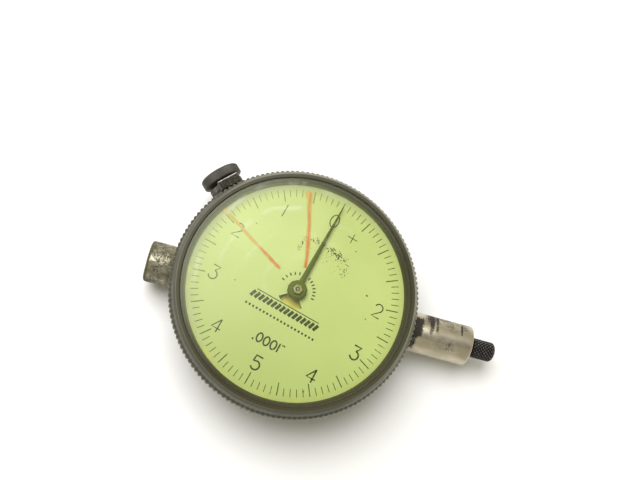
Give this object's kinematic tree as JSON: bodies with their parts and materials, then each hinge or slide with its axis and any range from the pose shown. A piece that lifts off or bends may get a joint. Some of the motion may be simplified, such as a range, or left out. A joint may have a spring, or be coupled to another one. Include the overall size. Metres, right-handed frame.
{
  "type": "dial indicator",
  "caption": "Round dial indicator with a turning bezel and dial, one pointer, a plain stem with a sprung spindle and contact point, a bezel clamp and a flat back.",
  "frame": {"origin": "centre of the flat outer face of the back cover, on the dial's axis", "axes": "+Z from the back to the crystal along the dial's axis; +Y from the stem to the dust cap along the spindle's line; the stem and contact point lie towards -Y"},
  "size_m": [0.0572, 0.0855, 0.0217],
  "materials": {
    "bezel_metal": "worn dark olive-brown oxide, metal showing on edges",
    "case_enamel": "dark satin",
    "worn_nickel": "nickel plate, pitted and tarnished in brown patches",
    "black_steel": "black oxide",
    "dial_paint": "yellow-green matt paint with black print",
    "crystal": "clear acrylic, lightly scratched",
    "brass": "satin, a little tarnished",
    "steel": "turned and polished",
    "ruby": "polished synthetic ruby"
  },
  "bodies": {
    "case": {"case_body": "case_enamel", "back_cover": "case_enamel", "back_screw_1": "steel", "back_screw_2": "steel", "back_screw_3": "steel", "back_screw_4": "steel", "stem": "worn_nickel", "stem_bushing": "brass", "upper_bushing": "brass", "dust_cap": "worn_nickel", "guide_fork": "brass", "return_spring": "steel", "spring_post": "steel", "lower_plate": "brass", "upper_plate": "brass", "pillar_1": "brass", "pillar_screw_1": "steel", "pillar_2": "brass", "pillar_screw_2": "steel", "pillar_3": "brass", "pillar_screw_3": "steel", "plate_screw_1": "steel", "plate_screw_2": "steel", "plate_screw_3": "steel", "center_jewel_lower": "ruby", "center_jewel_upper": "ruby", "intermediate_jewel_lower": "ruby", "intermediate_jewel_upper": "ruby", "sector_jewel_lower": "ruby", "sector_jewel_upper": "ruby", "takeup_jewel_lower": "ruby", "takeup_jewel_upper": "ruby", "hairspring": "steel", "hairspring_stud": "steel", "bezel_snap_ring": "steel", "tension_ring": "steel"},
    "bezel": {"bezel": "bezel_metal", "crystal": "crystal", "dial": "dial_paint", "dial_ring": "brass"},
    "pointer": {"pointer": "black_steel", "pointer_collet": "brass", "center_arbor": "steel", "center_pinion": "steel"},
    "intermediate": {"intermediate_arbor": "steel", "intermediate_pinion": "steel", "intermediate_gear": "brass"},
    "sector": {"sector_arbor": "steel", "sector_gear": "brass"},
    "takeup": {"takeup_arbor": "steel", "takeup_gear": "brass"},
    "spindle": {"spindle": "steel", "contact_point": "black_steel", "drive_block": "brass", "guide_pin": "steel", "spring_pin": "steel"},
    "clamp_shoe": {"clamp_shoe": "bezel_metal"},
    "clamp_screw": {"clamp_screw": "bezel_metal"}
  },
  "joints": [
    {"name": "spindle_travel", "type": "slide", "parent": "case", "child": "spindle", "axis": [0, 1, 0], "range_m": [0, 0.000635], "stiffness_N_per_m": 150, "springref_m": -0.008, "deforming": ["return_spring"]},
    {"name": "pointer_turn", "type": "hinge", "parent": "case", "child": "pointer", "pos_m": [0, 0, 0.0175], "axis": [0, 0, -1], "range_deg": [-1, 901]},
    {"name": "intermediate_turn", "type": "hinge", "parent": "case", "child": "intermediate", "pos_m": [-0.0104, -0.00271, 0.012], "axis": [0, 0, -1], "range_deg": [-147, 1]},
    {"name": "sector_swing", "type": "hinge", "parent": "case", "child": "sector", "pos_m": [0.00249, -0.01301, 0.012], "axis": [0, 0, -1], "range_deg": [-0.2, 15]},
    {"name": "takeup_turn", "type": "hinge", "parent": "case", "child": "takeup", "pos_m": [0.0045, 0.00779, 0.0145], "axis": [0, 0, -1], "range_deg": [-181, 1]},
    {"name": "bezel_turn", "type": "hinge", "parent": "case", "child": "bezel", "pos_m": [0, 0, 0.017], "axis": [0, 0, 1], "continuous": true},
    {"name": "clamp_shoe_travel", "type": "slide", "parent": "case", "child": "clamp_shoe", "axis": [0.7071, 0.7071, 0], "range_m": [0, 0.0005]},
    {"name": "clamp_screw_turn", "type": "hinge", "parent": "clamp_shoe", "child": "clamp_screw", "pos_m": [0.02334, 0.02334, 0.0102], "axis": [0.7071, 0.7071, 0], "range_deg": [-1, 361]}
  ],
  "couplings": [
    {"joint": "pointer_turn", "follows": "spindle_travel", "rad_per_m": 24737},
    {"joint": "intermediate_turn", "follows": "spindle_travel", "rad_per_m": -4011.4},
    {"joint": "sector_swing", "follows": "spindle_travel", "rad_per_m": 401.14},
    {"joint": "takeup_turn", "follows": "spindle_travel", "rad_per_m": -4947.4},
    {"joint": "clamp_screw_turn", "follows": "clamp_shoe_travel", "rad_per_m": 12566}
  ]
}
